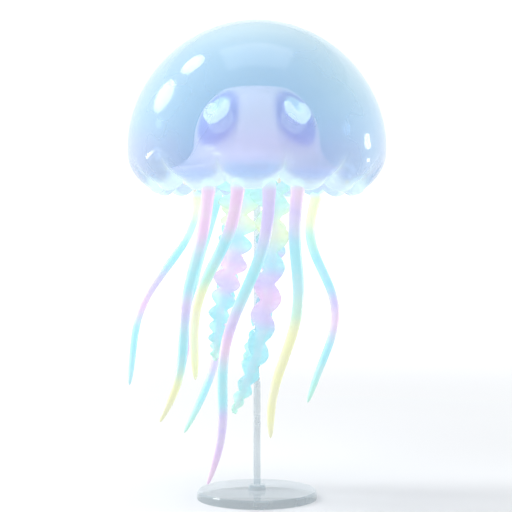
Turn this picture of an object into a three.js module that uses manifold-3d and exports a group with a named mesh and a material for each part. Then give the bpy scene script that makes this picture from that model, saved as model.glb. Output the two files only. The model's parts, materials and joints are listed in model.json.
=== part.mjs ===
// A moon jellyfish as a still, life-size display model on a plain stand.
// Millimetres, +Z up, and -Y is the front. The origin is the centre of the stand's foot.
// The bell is drawn in as at the end of a swimming stroke, and all that hangs from it
// trails down and to the left.
import * as THREE from 'three';
import { mergeVertices } from 'three/addons/utils/BufferGeometryUtils.js';
import ManifoldModule from 'manifold-3d';

// ---------------------------------------------------------------- driving dimensions

const GAP = 0.3; // between neighbouring solids

// the stand
const BASE_RADIUS = 58;
const BASE_THICKNESS = 8;
const BASE_BEVEL = 1.5;
const BOSS_RADIUS = 9;
const BOSS_HEIGHT = 5;
const ROD_RADIUS = 3.5;
const BASE_SEGMENTS = 48;
const ROD_SEGMENTS = 16;
const TIP_CLEARANCE = 12; // from the base's top up to the lowest tentacle tip

// the bell, with heights measured from its widest plane
const BELL_RADIUS = 125;
const CROWN_RISE = 121;
const CROWN_POWER = 1.88; // under 2 gives a slightly pointed dome
const FLANK_REACH = 58; // below the widest plane the bell would close at this depth
const FLANK_POWER = 3; // over 2 keeps the flank full before it turns in
const FLANK_FOOT = -39; // where the flank ends and the rounded lip begins
const MARGIN_DEPTH = 44; // down to the margin's lowest edge, which the lappets then lengthen
const LIP_RADIUS = 95; // where that edge lies
const LIP_TURN_IN = 3; // how far the flank turns in as it becomes the lip
const WALL_RADIUS = 88; // inner side of the margin
const WALL_TOP = -20;
const WALL_FOOT = -35;
const CROWN_STEPS = 10;
const FLANK_STEPS = 5;
const LIP_STEPS = 2; // on each side of its lowest edge

// the hollow under the bell
const DOME_RADIUS = 64;
const DOME_RISE = 65;
const DOME_POWER = 2.15;
const LINING_THICKNESS = 2.5;
const FACET_SAG = 0.55; // how far the lining's flat faces cut inside its true curve
const SKIRT_LEAN = new THREE.Vector2(4, 3); // out and up, how the roof runs on into the margin
const DOME_STEPS = 7;
const BEND_STEPS = 4;

// the scalloped margin
const LAPPETS = 16;
const LAPPET_FULLNESS = 0.8; // under 1 makes a lappet blunter than a plain wave
const LAPPET_SPREAD = 0.25; // the higher, the wider the lappets in front and the narrower behind
const LAPPET_TURN = THREE.MathUtils.degToRad(-2); // turns the front lappet a little to the left
const BODY_TURN = THREE.MathUtils.degToRad(11.25); // from a lappet's middle to its edge
const CREASE_TOP = -6; // the creases between lappets fade out at this height
const CREASE_FULL = -34; // and are deepest from this height down
const CREASE_DEPTH = 0.065; // share of the radius
const CREASE_REACH = 5; // how far outside LIP_RADIUS the creases come to their full depth
const NOTCH_TOP = 24; // no notch reaches above this depth
const NOTCH_RISE = 5.5;
const DEEP_NOTCH_RISE = 7.5; // every second notch, which carries a sense organ
const LAPPET_UNEVENNESS = 4; // the most that a lappet reaches further down than the plain margin
const SENSE_ORGANS = 8;
const SENSE_ORGAN_RADIUS = 2.2;
const SENSE_ORGAN_STRETCH = 1.6;
const SENSE_ORGAN_SUNK = 0.4; // share of its radius
const SENSE_ORGAN_SIDES = 8;
const SENSE_ORGAN_RINGS = 6;
const BELL_SEGMENTS = LAPPETS * 4;
const LINING_SEGMENTS = 40;
const TURN_CORRECTIONS = 12;

// the throat, or manubrium
const THROAT_TOP_RADIUS = 25;
const THROAT_WAIST_RADIUS = 18;
const THROAT_WAIST = 22;
const THROAT_FOOT_RADIUS = 28;
const THROAT_FOOT = -16;
const THROAT_LIP = 5; // thickness of its flared foot
const THROAT_FLARE = -6; // the lower, the later it flares below its waist
const THROAT_CORNERS = 0.17; // how far the four corners of the mouth stand out
const THROAT_CORNERS_TOP = 30; // the corners fade out at this height
const THROAT_TOP_STEPS = 3;
const THROAT_SEGMENTS = 32;
const MOUTH_CORNERS = 4;

// the four horseshoe gonads
const GONADS = 4;
const GONAD_TURN = THREE.MathUtils.degToRad(45); // one to each side of the front
const GONAD_LATITUDE = THREE.MathUtils.degToRad(60); // down from the top of the hollow
const GONAD_BEND_RADIUS = 10.5;
const GONAD_HALF_WIDTH = 5.5;
const GONAD_HEIGHT = 4.5;
const GONAD_SWEEP = THREE.MathUtils.degToRad(132);
const GONAD_END_TAPER = 0.35;
const GONAD_END_BLUNTNESS = 4; // the higher, the later the ridge narrows to its ends
const GONAD_STEPS = 16;
const SLOPE_STEP = 0.01; // radians to each side over which the slope of the roof is measured

// the marginal tentacles
const ROOT_CIRCLE = 95;
const ROOT_DEPTH = 48;
const TENTACLE_SIDES = 8;
const TENTACLE_STEP = 12;
const TENTACLE_TAPER = 0.3;
const TIP_RADIUS = 0.7;
const TIP_BLUNTNESS = 14; // the higher, the later the strand narrows to its tip
const TIP_ROUNDING = 0.6;
const STRAIGHT_ROOT = 0.06; // share of the drop over which a hanging part leaves plumb
const COURSE_STEP = 0.002; // share of the drop to each side over which its direction is measured
const ROOT_FLARE = 0.12; // share of the radius
const ROOT_FLARE_LENGTH = 6;
const ROOT_BULB_HEIGHT = 13;
const ROOT_BULB_SHARES = [1.35, 1.1]; // its two radii, as shares of the tentacle's

// azimuth is counted from the front towards +X, drop is the hanging height, drift is how far
// the tip lies towards +X of the root, inward is the share of the root's depth left at the
// tip, bow is the swing towards +Y at half the drop, and sway holds the heights of one, two
// and three half waves on the way down
const TENTACLES = [
  { azimuth: -27.5, radius: 5.6, drop: 210, drift: -45, inward: 0.75, bow: -10, sway: [5, -3, 3] },
  { azimuth: -10.5, radius: 5.7, drop: 173, drift: -40, inward: 0.5, bow: -4, sway: [-10, 5, 2] },
  { azimuth: 6.5, radius: 5.6, drop: 272, drift: -57, inward: 0.4, bow: -9, sway: [-4, 1, 6] },
  { azimuth: 22.5, radius: 5.7, drop: 223, drift: -24, inward: 0.85, bow: -8, sway: [7, 2, -4] },
  { azimuth: 140.5, radius: 5.2, drop: 203, drift: -10, inward: 0.4, bow: 4, sway: [17, -9, -5] },
  { azimuth: 155, radius: 4.8, drop: 150, drift: -6, inward: 0.8, bow: 6, sway: [6, -3, -1] },
  { azimuth: 172, radius: 4.8, drop: 179, drift: -24, inward: 0.45, bow: 6, sway: [13, 0, 0] },
  { azimuth: 191, radius: 5.4, drop: 236, drift: -55, inward: 0.55, bow: 9, sway: [13, -3, 1] },
  { azimuth: 206, radius: 4.8, drop: 172, drift: -34, inward: 0.85, bow: 6, sway: [-5, -1, 1] },
  { azimuth: 220, radius: 4.6, drop: 185, drift: -65, inward: 0.35, bow: -6, sway: [-10, 7, 3] },
];
const TENTACLE_LENGTHS = ['upper', 'middle', 'tip'];

// the four frilled oral arms
const ARM_CIRCLE = 22;
const ARM_COLUMNS = 4;
const ARM_STEP = 3.75;
const ARM_ROOT_SHARE = 0.62; // its width at the root, as a share of its full width
const ARM_ROOT_LENGTH = 0.1; // share of the drop
const ARM_TIP_BLUNTNESS = 10;
const ARM_TIP_HALF_WIDTH = 1;
const FRILL_TIGHTENING = 0.29; // share of half waves that is added by tightening them at the tip
const FRILL_TIGHTENING_POWER = 9; // the higher, the nearer to the tip they tighten
const FRILL_EDGE = 0.55; // share of the half width
const FRILL_LIFT = 5;
const FRILL_START = 0.08; // share of the drop
const FRILL_CALMING = 0.4; // share of its strength that a frill loses by the tip
const RIB_HALF_THICKNESS = 3.2;
const RIB_TIP_HALF_THICKNESS = 0.9;
const FLAP_HALF_THICKNESS = 0.5;
// taper is the share of its width that an arm loses by the tip, frills is how many half waves
// each edge makes where they aren't tightened, counted over the whole drop, and shift holds
// where the waves of the two edges begin, in half waves
const ARMS = [
  {
    name: 'left', azimuth: -78.75, width: 14, taper: 0.62, drop: 191, drift: -19, bow: -10, facing: 8,
    sway: [7, 4], frills: 10.2, shift: [0.5, 0.3],
  },
  {
    name: 'front', azimuth: 11.25, width: 11.5, taper: 0.45, drop: 239, drift: -27, bow: 2, facing: -6,
    sway: [21.5, 0, 2], frills: 8.1, shift: [0.5, 0.08],
  },
  {
    name: 'right', azimuth: 101.25, width: 12, taper: 0.6, drop: 196, drift: -35, bow: 13, facing: -12,
    sway: [9, -4], frills: 9, shift: [0.1, 0.6],
  },
  {
    name: 'back', azimuth: 191.25, width: 12, taper: 0.6, drop: 160, drift: -36, bow: 3, facing: 14,
    sway: [-2, -3], frills: 8, shift: [0.3, 0.8],
  },
];
const ARM_LENGTHS = ['upper', 'lower'];

const LONGEST_DROP = Math.max(...TENTACLES.map((tentacle) => tentacle.drop));
const WIDEST_HEIGHT = BASE_THICKNESS + TIP_CLEARANCE + LONGEST_DROP + ROOT_DEPTH;

// ---------------------------------------------------------------- finishes

const finish = (color, roughness) => new THREE.MeshStandardMaterial({ color, roughness, metalness: 0 });

const MATERIALS = {
  bell: finish('#a9c7e9', 0.2),
  lining: finish('#c7d0f0', 0.35),
  throat: finish('#c3cdec', 0.4),
  gonad: finish('#d4f0fb', 0.4),
  arm: finish('#c8f2e3', 0.45),
  tentacle: finish('#d5d8f5', 0.35),
  stand: finish('#e9eef2', 0.1),
};

// ---------------------------------------------------------------- solids

const MERGE_DISTANCE = 1e-4;

const wasm = await ManifoldModule();
wasm.setup();

const group = new THREE.Group();

/** Leaves only positions, joins shared corners and drops the faces that have shrunk to a line. */
function closed(geometry) {
  geometry.deleteAttribute('normal');
  geometry.deleteAttribute('uv');
  const merged = mergeVertices(geometry, MERGE_DISTANCE);
  const corners = merged.index.array;
  const kept = [];
  for (let i = 0; i < corners.length; i += 3) {
    const [a, b, c] = [corners[i], corners[i + 1], corners[i + 2]];
    if (a !== b && b !== c && c !== a) kept.push(a, b, c);
  }
  merged.setIndex(kept);
  return merged;
}

/** Moves every corner of a geometry to the place that the function gives it. */
function reshape(geometry, place) {
  const positions = geometry.attributes.position;
  const point = new THREE.Vector3();
  for (let i = 0; i < positions.count; i += 1) {
    point.fromBufferAttribute(positions, i);
    place(point);
    positions.setXYZ(i, point.x, point.y, point.z);
  }
  return geometry;
}

function toManifold(geometry) {
  const solid = closed(geometry);
  return new wasm.Manifold(
    new wasm.Mesh({
      numProp: 3,
      vertProperties: new Float32Array(solid.attributes.position.array),
      triVerts: new Uint32Array(solid.index.array),
    }),
  );
}

/** Joins geometries and keeps the largest closed surface of the result. */
function fuse(geometries) {
  const solids = geometries.map(toManifold);
  const whole = solids.slice(1).reduce((sum, next) => sum.add(next), solids[0]);
  const pieces = whole.decompose();
  pieces.sort((a, b) => b.volume() - a.volume());
  const mesh = pieces[0].getMesh();
  const geometry = new THREE.BufferGeometry();
  geometry.setAttribute('position', new THREE.BufferAttribute(new Float32Array(mesh.vertProperties), 3));
  geometry.setIndex(Array.from(mesh.triVerts));
  return geometry;
}

function addNode(name, geometry, material) {
  const mesh = new THREE.Mesh(closed(geometry), material);
  mesh.geometry.computeVertexNormals();
  mesh.name = name;
  group.add(mesh);
}

/** A lathed body with its axis upright, from a profile of (radius, height) pairs. */
function lathe(profile, segments) {
  const geometry = new THREE.LatheGeometry(profile, segments);
  return reshape(geometry, (point) => point.set(point.x, -point.z, point.y));
}

// ---------------------------------------------------------------- the bell

const superellipse = (radius, rise, radiusPower, risePower, angle) =>
  new THREE.Vector2(
    radius * Math.sin(angle) ** (2 / radiusPower),
    rise * Math.max(Math.cos(angle), 0) ** (2 / risePower),
  );

/** Points of a dome from its top down to its foot. */
function domeProfile(radius, rise, radiusPower, risePower, steps) {
  const points = [];
  for (let i = 0; i <= steps; i += 1) {
    points.push(superellipse(radius, rise, radiusPower, risePower, (i / steps) * (Math.PI / 2)));
  }
  points[0].x = 0;
  points[steps].y = 0;
  return points;
}

const bend = (from, handle, to, steps) =>
  new THREE.QuadraticBezierCurve(
    new THREE.Vector2(...from),
    new THREE.Vector2(...handle),
    new THREE.Vector2(...to),
  )
    .getPoints(steps)
    .slice(1);

/** The roof of the hollow from its top to the inner side of the margin, set in by a distance. */
function hollowProfile(inset) {
  const radius = DOME_RADIUS - inset;
  const dome = domeProfile(radius, DOME_RISE - inset, DOME_POWER, DOME_POWER, DOME_STEPS);
  const handle = [radius + SKIRT_LEAN.x, WALL_TOP + SKIRT_LEAN.y - inset];
  const skirt = bend([radius, 0], handle, [WALL_RADIUS - inset, WALL_TOP - inset], BEND_STEPS);
  return [...dome, ...skirt];
}

/**
 * Where a turn round a margin of equal lappets comes to lie on this one, whose lappets are wider
 * in front and narrower at the back. It is found by repeated correction.
 */
function azimuthAt(turn) {
  let azimuth = turn;
  for (let i = 0; i < TURN_CORRECTIONS; i += 1) {
    azimuth = turn + LAPPET_TURN + LAPPET_SPREAD * Math.sin(azimuth);
  }
  return azimuth;
}

/** One at the middle of a lappet and nought in the crease between two. */
const lappetShape = (turn) => Math.abs(Math.cos((LAPPETS / 2) * turn)) ** LAPPET_FULLNESS;

/** One in the creases that carry a sense organ and nought in the others. */
const deepCrease = (turn) => (1 + Math.cos(SENSE_ORGANS * (turn - BODY_TURN))) / 2;

/** How much further down than the plain margin the lappet at this turn reaches. */
function lappetReach(turn) {
  const number = (Math.round((turn / (Math.PI * 2)) * LAPPETS) + LAPPETS) % LAPPETS;
  return LAPPET_UNEVENNESS * THREE.MathUtils.seededRandom(number + 1);
}

/** Swells the margin into lappets with creases and notches between them. */
function scallop(point) {
  const height = point.z;
  const turn = Math.atan2(point.x, -point.y);
  const radius = Math.hypot(point.x, point.y);
  const lappet = lappetShape(turn);
  const notch = THREE.MathUtils.lerp(NOTCH_RISE, DEEP_NOTCH_RISE, deepCrease(turn));
  const outside = THREE.MathUtils.smoothstep(radius, WALL_RADIUS, LIP_RADIUS + CREASE_REACH);
  const creased = outside * THREE.MathUtils.smoothstep(-height, -CREASE_TOP, -CREASE_FULL);
  const pinched = radius * (1 - CREASE_DEPTH * (1 - lappet) * creased);
  const low = THREE.MathUtils.smoothstep(-height, NOTCH_TOP, MARGIN_DEPTH);
  const lift = low * (notch * (1 - lappet) - lappetReach(turn) * lappet);
  const azimuth = azimuthAt(turn);
  point.set(pinched * Math.sin(azimuth), -pinched * Math.cos(azimuth), height + lift);
}

/** A short swelling under the margin that a tentacle grows from, with a flat foot. */
function rootBulb({ azimuth, radius }) {
  const angle = THREE.MathUtils.degToRad(azimuth);
  const [wide, narrow] = ROOT_BULB_SHARES.map((share) => radius * share);
  const bulb = new THREE.CylinderGeometry(wide, narrow, ROOT_BULB_HEIGHT, TENTACLE_SIDES);
  const foot = GAP - ROOT_DEPTH;
  return reshape(bulb, (point) =>
    point.set(
      point.x + ROOT_CIRCLE * Math.sin(angle),
      -point.z - ROOT_CIRCLE * Math.cos(angle),
      point.y + foot + ROOT_BULB_HEIGHT / 2,
    ),
  );
}

/** A small oval sense organ that hangs in a notch of the margin. */
function senseOrgan(index) {
  const azimuth = azimuthAt(BODY_TURN + (index / SENSE_ORGANS) * Math.PI * 2);
  const bulb = new THREE.SphereGeometry(SENSE_ORGAN_RADIUS, SENSE_ORGAN_SIDES, SENSE_ORGAN_RINGS);
  const distance = (LIP_RADIUS + WALL_RADIUS) / 2;
  const height = DEEP_NOTCH_RISE - MARGIN_DEPTH - SENSE_ORGAN_RADIUS * SENSE_ORGAN_SUNK;
  return reshape(bulb, (point) =>
    point.set(
      point.x + distance * Math.sin(azimuth),
      -point.z - distance * Math.cos(azimuth),
      point.y * SENSE_ORGAN_STRETCH + height,
    ),
  );
}

/** The flank from the widest plane down to where the lip begins. */
function flankProfile() {
  return Array.from({ length: FLANK_STEPS }, (_, i) => {
    const height = (FLANK_FOOT * (i + 1)) / FLANK_STEPS;
    const share = Math.abs(height / FLANK_REACH) ** FLANK_POWER;
    return new THREE.Vector2(BELL_RADIUS * Math.sqrt(1 - share), height);
  });
}

/** The rounded lip from the foot of the flank to the inner wall of the margin. */
function lipProfile(flankFoot) {
  const lowest = [LIP_RADIUS, -MARGIN_DEPTH];
  const outerHandle = [flankFoot.x - LIP_TURN_IN, -MARGIN_DEPTH];
  const outer = bend([flankFoot.x, flankFoot.y], outerHandle, lowest, LIP_STEPS);
  const inner = bend(lowest, [WALL_RADIUS, -MARGIN_DEPTH], [WALL_RADIUS, WALL_FOOT], LIP_STEPS);
  return [...outer, ...inner];
}

function bellGeometry() {
  const crown = domeProfile(BELL_RADIUS, CROWN_RISE, 2, CROWN_POWER, CROWN_STEPS);
  const flank = flankProfile();
  const hollow = hollowProfile(0).reverse();
  const profile = [...crown, ...flank, ...lipProfile(flank.at(-1)), ...hollow];
  const body = reshape(lathe(profile.reverse(), BELL_SEGMENTS), scallop);
  const organs = Array.from({ length: SENSE_ORGANS }, (_, index) => senseOrgan(index));
  return fuse([body, ...TENTACLES.map(rootBulb), ...organs]);
}

function liningGeometry() {
  const above = hollowProfile(GAP);
  const below = hollowProfile(GAP + LINING_THICKNESS).reverse();
  return lathe([...above, ...below].reverse(), LINING_SEGMENTS);
}

const raise = (geometry) => geometry.translate(0, 0, WIDEST_HEIGHT);

addNode('bell', raise(bellGeometry()), MATERIALS.bell);
addNode('subumbrella', raise(liningGeometry()), MATERIALS.lining);

// ---------------------------------------------------------------- the throat

const ROOF_INSET = GAP + LINING_THICKNESS + GAP + FACET_SAG;

/** Height of the throat's top at a distance from the axis, just under the lining. */
function roofHeight(distance) {
  const share = distance / (DOME_RADIUS - ROOF_INSET);
  return (DOME_RISE - ROOF_INSET) * (1 - share ** DOME_POWER) ** (1 / DOME_POWER);
}

function throatGeometry() {
  const roof = Array.from({ length: THROAT_TOP_STEPS + 1 }, (_, step) => {
    const distance = (step / THROAT_TOP_STEPS) * THROAT_TOP_RADIUS;
    return new THREE.Vector2(distance, roofHeight(distance));
  });
  const top = [THROAT_TOP_RADIUS, roofHeight(THROAT_TOP_RADIUS)];
  const waist = [THROAT_WAIST_RADIUS, THROAT_WAIST];
  const upper = bend(top, [THROAT_WAIST_RADIUS, THROAT_WAIST * 2], waist, BEND_STEPS);
  const flared = [THROAT_FOOT_RADIUS, THROAT_FOOT + THROAT_LIP];
  const lower = bend(waist, [THROAT_WAIST_RADIUS, THROAT_FLARE], flared, BEND_STEPS);
  const foot = [new THREE.Vector2(THROAT_FOOT_RADIUS, THROAT_FOOT), new THREE.Vector2(0, THROAT_FOOT)];
  const body = lathe([...roof, ...upper, ...lower, ...foot].reverse(), THROAT_SEGMENTS);
  return reshape(body, (point) => {
    const azimuth = Math.atan2(point.x, -point.y);
    const low = THREE.MathUtils.smoothstep(-point.z, -THROAT_CORNERS_TOP, -THROAT_FOOT);
    const corner = 1 + THROAT_CORNERS * low * Math.cos(MOUTH_CORNERS * (azimuth - BODY_TURN));
    point.set(point.x * corner, point.y * corner, point.z);
  });
}

addNode('manubrium', raise(throatGeometry()), MATERIALS.throat);

// ---------------------------------------------------------------- the gonads

/** A point of the hollow's roof and the normal that points from it into the hollow. */
function roofPoint(latitude, azimuth, inset) {
  const at = (angle) => superellipse(DOME_RADIUS - inset, DOME_RISE - inset, DOME_POWER, DOME_POWER, angle);
  const here = at(latitude);
  const slope = at(latitude + SLOPE_STEP).sub(at(latitude - SLOPE_STEP)).normalize();
  const outward = new THREE.Vector3(Math.sin(azimuth), -Math.cos(azimuth), 0);
  const position = outward.clone().multiplyScalar(here.x).setZ(here.y);
  const inwardNormal = outward.clone().multiplyScalar(slope.y).setZ(-slope.x);
  return { position, inwardNormal };
}

/** A horseshoe ridge under the roof of the hollow, open towards the throat. */
function gonadGeometry(azimuth) {
  const ridge = new THREE.CylinderGeometry(1, 1, 1, TENTACLE_SIDES, GONAD_STEPS);
  const roofSpan = superellipse(DOME_RADIUS, DOME_RISE, DOME_POWER, DOME_POWER, GONAD_LATITUDE).x;
  return reshape(ridge, (point) => {
    const turn = -point.y * 2 * GONAD_SWEEP;
    const swelling = 1 - GONAD_END_TAPER * Math.abs(point.y * 2) ** GONAD_END_BLUNTNESS;
    const distance = GONAD_BEND_RADIUS + point.x * GONAD_HALF_WIDTH * swelling;
    const latitude = GONAD_LATITUDE + (distance * Math.cos(turn)) / DOME_RISE;
    const longitude = azimuth + (distance * Math.sin(turn)) / roofSpan;
    const raised = Math.max(point.z + Math.SQRT1_2, 0) / (1 + Math.SQRT1_2);
    const depth = raised * GONAD_HEIGHT * swelling;
    const { position, inwardNormal } = roofPoint(latitude, longitude, ROOF_INSET);
    point.copy(position).addScaledVector(inwardNormal, depth);
  });
}

for (let i = 0; i < GONADS; i += 1) {
  const azimuth = GONAD_TURN + (i / GONADS) * Math.PI * 2;
  addNode(`gonad_${i + 1}`, raise(gonadGeometry(azimuth)), MATERIALS.gonad);
}

// ---------------------------------------------------------------- what hangs

const DOWN = new THREE.Vector3(0, 0, -1);
const DEPTH_AXIS = new THREE.Vector3(0, 1, 0);

/** Middle of a hanging part at a share of its drop, as its sway and bow carry it. */
function hangingPoint(part, circle, top, share) {
  const azimuth = THREE.MathUtils.degToRad(part.azimuth);
  const sway = part.sway.reduce((sum, height, i) => sum + height * Math.sin((i + 1) * Math.PI * share), 0);
  const depth = -circle * Math.cos(azimuth);
  return new THREE.Vector3(
    circle * Math.sin(azimuth) + part.drift * share + sway,
    depth * THREE.MathUtils.lerp(1, part.inward ?? 1, share) + part.bow * Math.sin(Math.PI * share),
    top - part.drop * share,
  );
}

/** Middle of a hanging part at a share of its drop, with the directions across it and to its front. */
function hangingFrame(part, circle, top, share) {
  const after = hangingPoint(part, circle, top, share + COURSE_STEP);
  const before = hangingPoint(part, circle, top, share - COURSE_STEP);
  const course = after.sub(before).normalize();
  const settled = THREE.MathUtils.smoothstep(share, 0, STRAIGHT_ROOT);
  const direction = DOWN.clone().lerp(course, settled).normalize();
  const across = DEPTH_AXIS.clone().cross(direction).normalize().negate();
  const toFront = direction.clone().cross(across).normalize();
  return { position: hangingPoint(part, circle, top, share), across, toFront };
}

/** Splits the drop into equal lengths with a gap between one and the next. */
function lengthShares(part, index, count) {
  const gapShare = GAP / part.drop;
  const from = index / count + (index > 0 ? gapShare / 2 : 0);
  const to = (index + 1) / count - (index < count - 1 ? gapShare / 2 : 0);
  return [from, to];
}

function tentacleRadius(part, share) {
  const root = 1 + ROOT_FLARE * Math.exp((-share * part.drop) / ROOT_FLARE_LENGTH);
  const body = part.radius * root * (1 - TENTACLE_TAPER * share);
  return TIP_RADIUS + (body - TIP_RADIUS) * (1 - share ** TIP_BLUNTNESS) ** TIP_ROUNDING;
}

function tentacleGeometry(part, from, to) {
  const steps = Math.ceil(((to - from) * part.drop) / TENTACLE_STEP);
  const tube = new THREE.CylinderGeometry(1, 1, 1, TENTACLE_SIDES, steps);
  return reshape(tube, (point) => {
    const share = THREE.MathUtils.lerp(from, to, 0.5 - point.y);
    const { position, across, toFront } = hangingFrame(part, ROOT_CIRCLE, -ROOT_DEPTH, share);
    const radius = tentacleRadius(part, share);
    const [side, depth] = [point.x * radius, point.z * radius];
    point.copy(position).addScaledVector(across, side).addScaledVector(toFront, depth);
  });
}

TENTACLES.forEach((part, number) => {
  TENTACLE_LENGTHS.forEach((length, index) => {
    const [from, to] = lengthShares(part, index, TENTACLE_LENGTHS.length);
    const name = `tentacle_${number + 1}_${length}`;
    addNode(name, raise(tentacleGeometry(part, from, to)), MATERIALS.tentacle);
  });
});

// ---------------------------------------------------------------- the oral arms

/** Half width of an oral arm, narrow at its root and again at its tip. */
function armHalfWidth(part, share) {
  const opened = THREE.MathUtils.smoothstep(share, 0, ARM_ROOT_LENGTH);
  const root = THREE.MathUtils.lerp(ARM_ROOT_SHARE, 1, opened);
  const tip = (1 - share ** ARM_TIP_BLUNTNESS) ** TIP_ROUNDING;
  return part.width * root * (1 - part.taper * share) * tip + ARM_TIP_HALF_WIDTH;
}

/** The row of points across an oral arm's front and back faces at a share of its drop. */
function armRow(part, share) {
  const top = THROAT_FOOT - GAP;
  const { position, across, toFront } = hangingFrame(part, ARM_CIRCLE, top, share);
  const facing = THREE.MathUtils.degToRad(part.facing);
  const wide = across.clone().multiplyScalar(Math.cos(facing)).addScaledVector(toFront, Math.sin(facing));
  const face = toFront.clone().multiplyScalar(Math.cos(facing)).addScaledVector(across, -Math.sin(facing));
  const run = Math.PI * part.frills * (share + FRILL_TIGHTENING * share ** FRILL_TIGHTENING_POWER);
  const settled = THREE.MathUtils.smoothstep(share, 0, FRILL_START) * (1 - FRILL_CALMING * share);
  const halfWidth = armHalfWidth(part, share);
  const rib = THREE.MathUtils.lerp(RIB_HALF_THICKNESS, RIB_TIP_HALF_THICKNESS, share);
  const rows = { front: [], back: [] };
  for (let column = 0; column <= ARM_COLUMNS; column += 1) {
    const u = (column / ARM_COLUMNS) * 2 - 1;
    const phase = Math.PI * part.shift[u < 0 ? 0 : 1];
    const reach = 1 + FRILL_EDGE * settled * (2 * Math.abs(Math.sin(run + phase)) - 1);
    const lift = FRILL_LIFT * settled * u ** 2 * Math.sin(run + phase);
    const thickness = THREE.MathUtils.lerp(FLAP_HALF_THICKNESS, rib, (1 - u * u) ** 2);
    const middle = position.clone().addScaledVector(wide, u * halfWidth * reach).addScaledVector(face, lift);
    rows.front.push(middle.clone().addScaledVector(face, thickness));
    rows.back.push(middle.clone().addScaledVector(face, -thickness));
  }
  return rows;
}

/** Joins rows of front and back points into one closed vane, split alike on both faces. */
function vane(rows) {
  const columns = rows[0].front.length;
  const points = rows.flatMap((row) => [...row.front, ...row.back]);
  const corner = (row, column, side) => (row * 2 + side) * columns + column;
  const faces = [];
  const quad = (a, b, c, d) => faces.push(a, b, c, a, c, d);
  for (let row = 0; row < rows.length - 1; row += 1) {
    for (let column = 0; column < columns - 1; column += 1) {
      const [a, b] = [corner(row, column, 0), corner(row, column + 1, 0)];
      const [c, d] = [corner(row + 1, column + 1, 0), corner(row + 1, column, 0)];
      quad(a, d, c, b);
      const back = [a, b, c, d].map((index) => index + columns);
      quad(...back);
    }
    for (const [column, near, far] of [[0, 0, 1], [columns - 1, 1, 0]]) {
      const [a, b] = [corner(row, column, near), corner(row, column, far)];
      const [c, d] = [corner(row + 1, column, far), corner(row + 1, column, near)];
      quad(a, b, c, d);
    }
  }
  for (const [row, near, far] of [[0, 0, 1], [rows.length - 1, 1, 0]]) {
    for (let column = 0; column < columns - 1; column += 1) {
      const [a, b] = [corner(row, column, near), corner(row, column + 1, near)];
      const [c, d] = [corner(row, column + 1, far), corner(row, column, far)];
      quad(a, b, c, d);
    }
  }
  const geometry = new THREE.BufferGeometry().setFromPoints(points);
  geometry.setIndex(faces);
  return geometry;
}

function armGeometry(part, from, to) {
  const steps = Math.ceil(((to - from) * part.drop) / ARM_STEP);
  const shares = Array.from({ length: steps + 1 }, (_, i) => THREE.MathUtils.lerp(from, to, i / steps));
  return vane(shares.map((share) => armRow(part, share)));
}

ARMS.forEach((part) => {
  ARM_LENGTHS.forEach((length, index) => {
    const [from, to] = lengthShares(part, index, ARM_LENGTHS.length);
    addNode(`oral_arm_${part.name}_${length}`, raise(armGeometry(part, from, to)), MATERIALS.arm);
  });
});

// ---------------------------------------------------------------- the stand

const BOSS_TOP = BASE_THICKNESS + BOSS_HEIGHT;

const turned = (profile, segments) => lathe(profile.map((pair) => new THREE.Vector2(...pair)), segments);

function baseGeometry() {
  const profile = [
    [0, 0],
    [BASE_RADIUS, 0],
    [BASE_RADIUS, BASE_THICKNESS - BASE_BEVEL],
    [BASE_RADIUS - BASE_BEVEL, BASE_THICKNESS],
    [BOSS_RADIUS, BASE_THICKNESS],
    [BOSS_RADIUS - BASE_BEVEL, BOSS_TOP],
    [0, BOSS_TOP],
  ];
  return turned(profile, BASE_SEGMENTS);
}

function rodGeometry() {
  const foot = BOSS_TOP + GAP;
  const top = WIDEST_HEIGHT + THROAT_FOOT - GAP;
  return turned([[0, foot], [ROD_RADIUS, foot], [ROD_RADIUS, top], [0, top]], ROD_SEGMENTS);
}

addNode('stand_base', baseGeometry(), MATERIALS.stand);
addNode('stand_rod', rodGeometry(), MATERIALS.stand);

export default group;
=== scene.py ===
# %% [markdown]
# # A moon jellyfish on a clear stand
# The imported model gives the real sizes: a bell 250 mm across, four oral arms, ten long
# tentacles and a stand. Here each of them gets the soft, wet and half clear look of the
# living animal. All lengths below are written in millimetres, as a modeller would measure
# them, and `MM` turns them into the metres that Blender works in.

# %% Load the frame
import json
import math

import bpy
from mathutils import Matrix, Vector

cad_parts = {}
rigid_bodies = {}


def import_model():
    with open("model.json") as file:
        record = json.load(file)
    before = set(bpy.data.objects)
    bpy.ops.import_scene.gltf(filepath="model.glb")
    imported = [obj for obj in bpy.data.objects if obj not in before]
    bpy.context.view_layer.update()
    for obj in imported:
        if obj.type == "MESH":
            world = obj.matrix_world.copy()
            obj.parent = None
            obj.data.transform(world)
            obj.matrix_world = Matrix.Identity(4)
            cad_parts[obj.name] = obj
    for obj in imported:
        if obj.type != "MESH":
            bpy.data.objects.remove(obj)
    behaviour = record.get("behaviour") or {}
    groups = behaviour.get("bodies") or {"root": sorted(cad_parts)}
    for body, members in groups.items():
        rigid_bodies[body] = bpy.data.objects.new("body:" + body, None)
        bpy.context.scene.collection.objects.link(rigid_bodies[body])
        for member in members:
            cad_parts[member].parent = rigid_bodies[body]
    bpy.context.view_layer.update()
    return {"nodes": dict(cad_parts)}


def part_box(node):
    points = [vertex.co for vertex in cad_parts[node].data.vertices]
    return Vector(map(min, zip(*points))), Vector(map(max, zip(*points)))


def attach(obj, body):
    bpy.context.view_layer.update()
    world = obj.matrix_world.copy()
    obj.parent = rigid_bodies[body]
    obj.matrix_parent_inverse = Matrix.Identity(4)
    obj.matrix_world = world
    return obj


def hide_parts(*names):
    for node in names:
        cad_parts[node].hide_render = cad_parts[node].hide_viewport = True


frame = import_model()
MM = 0.001
scene = bpy.context.scene
print("nodes in the frame:", len(frame["nodes"]))

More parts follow.
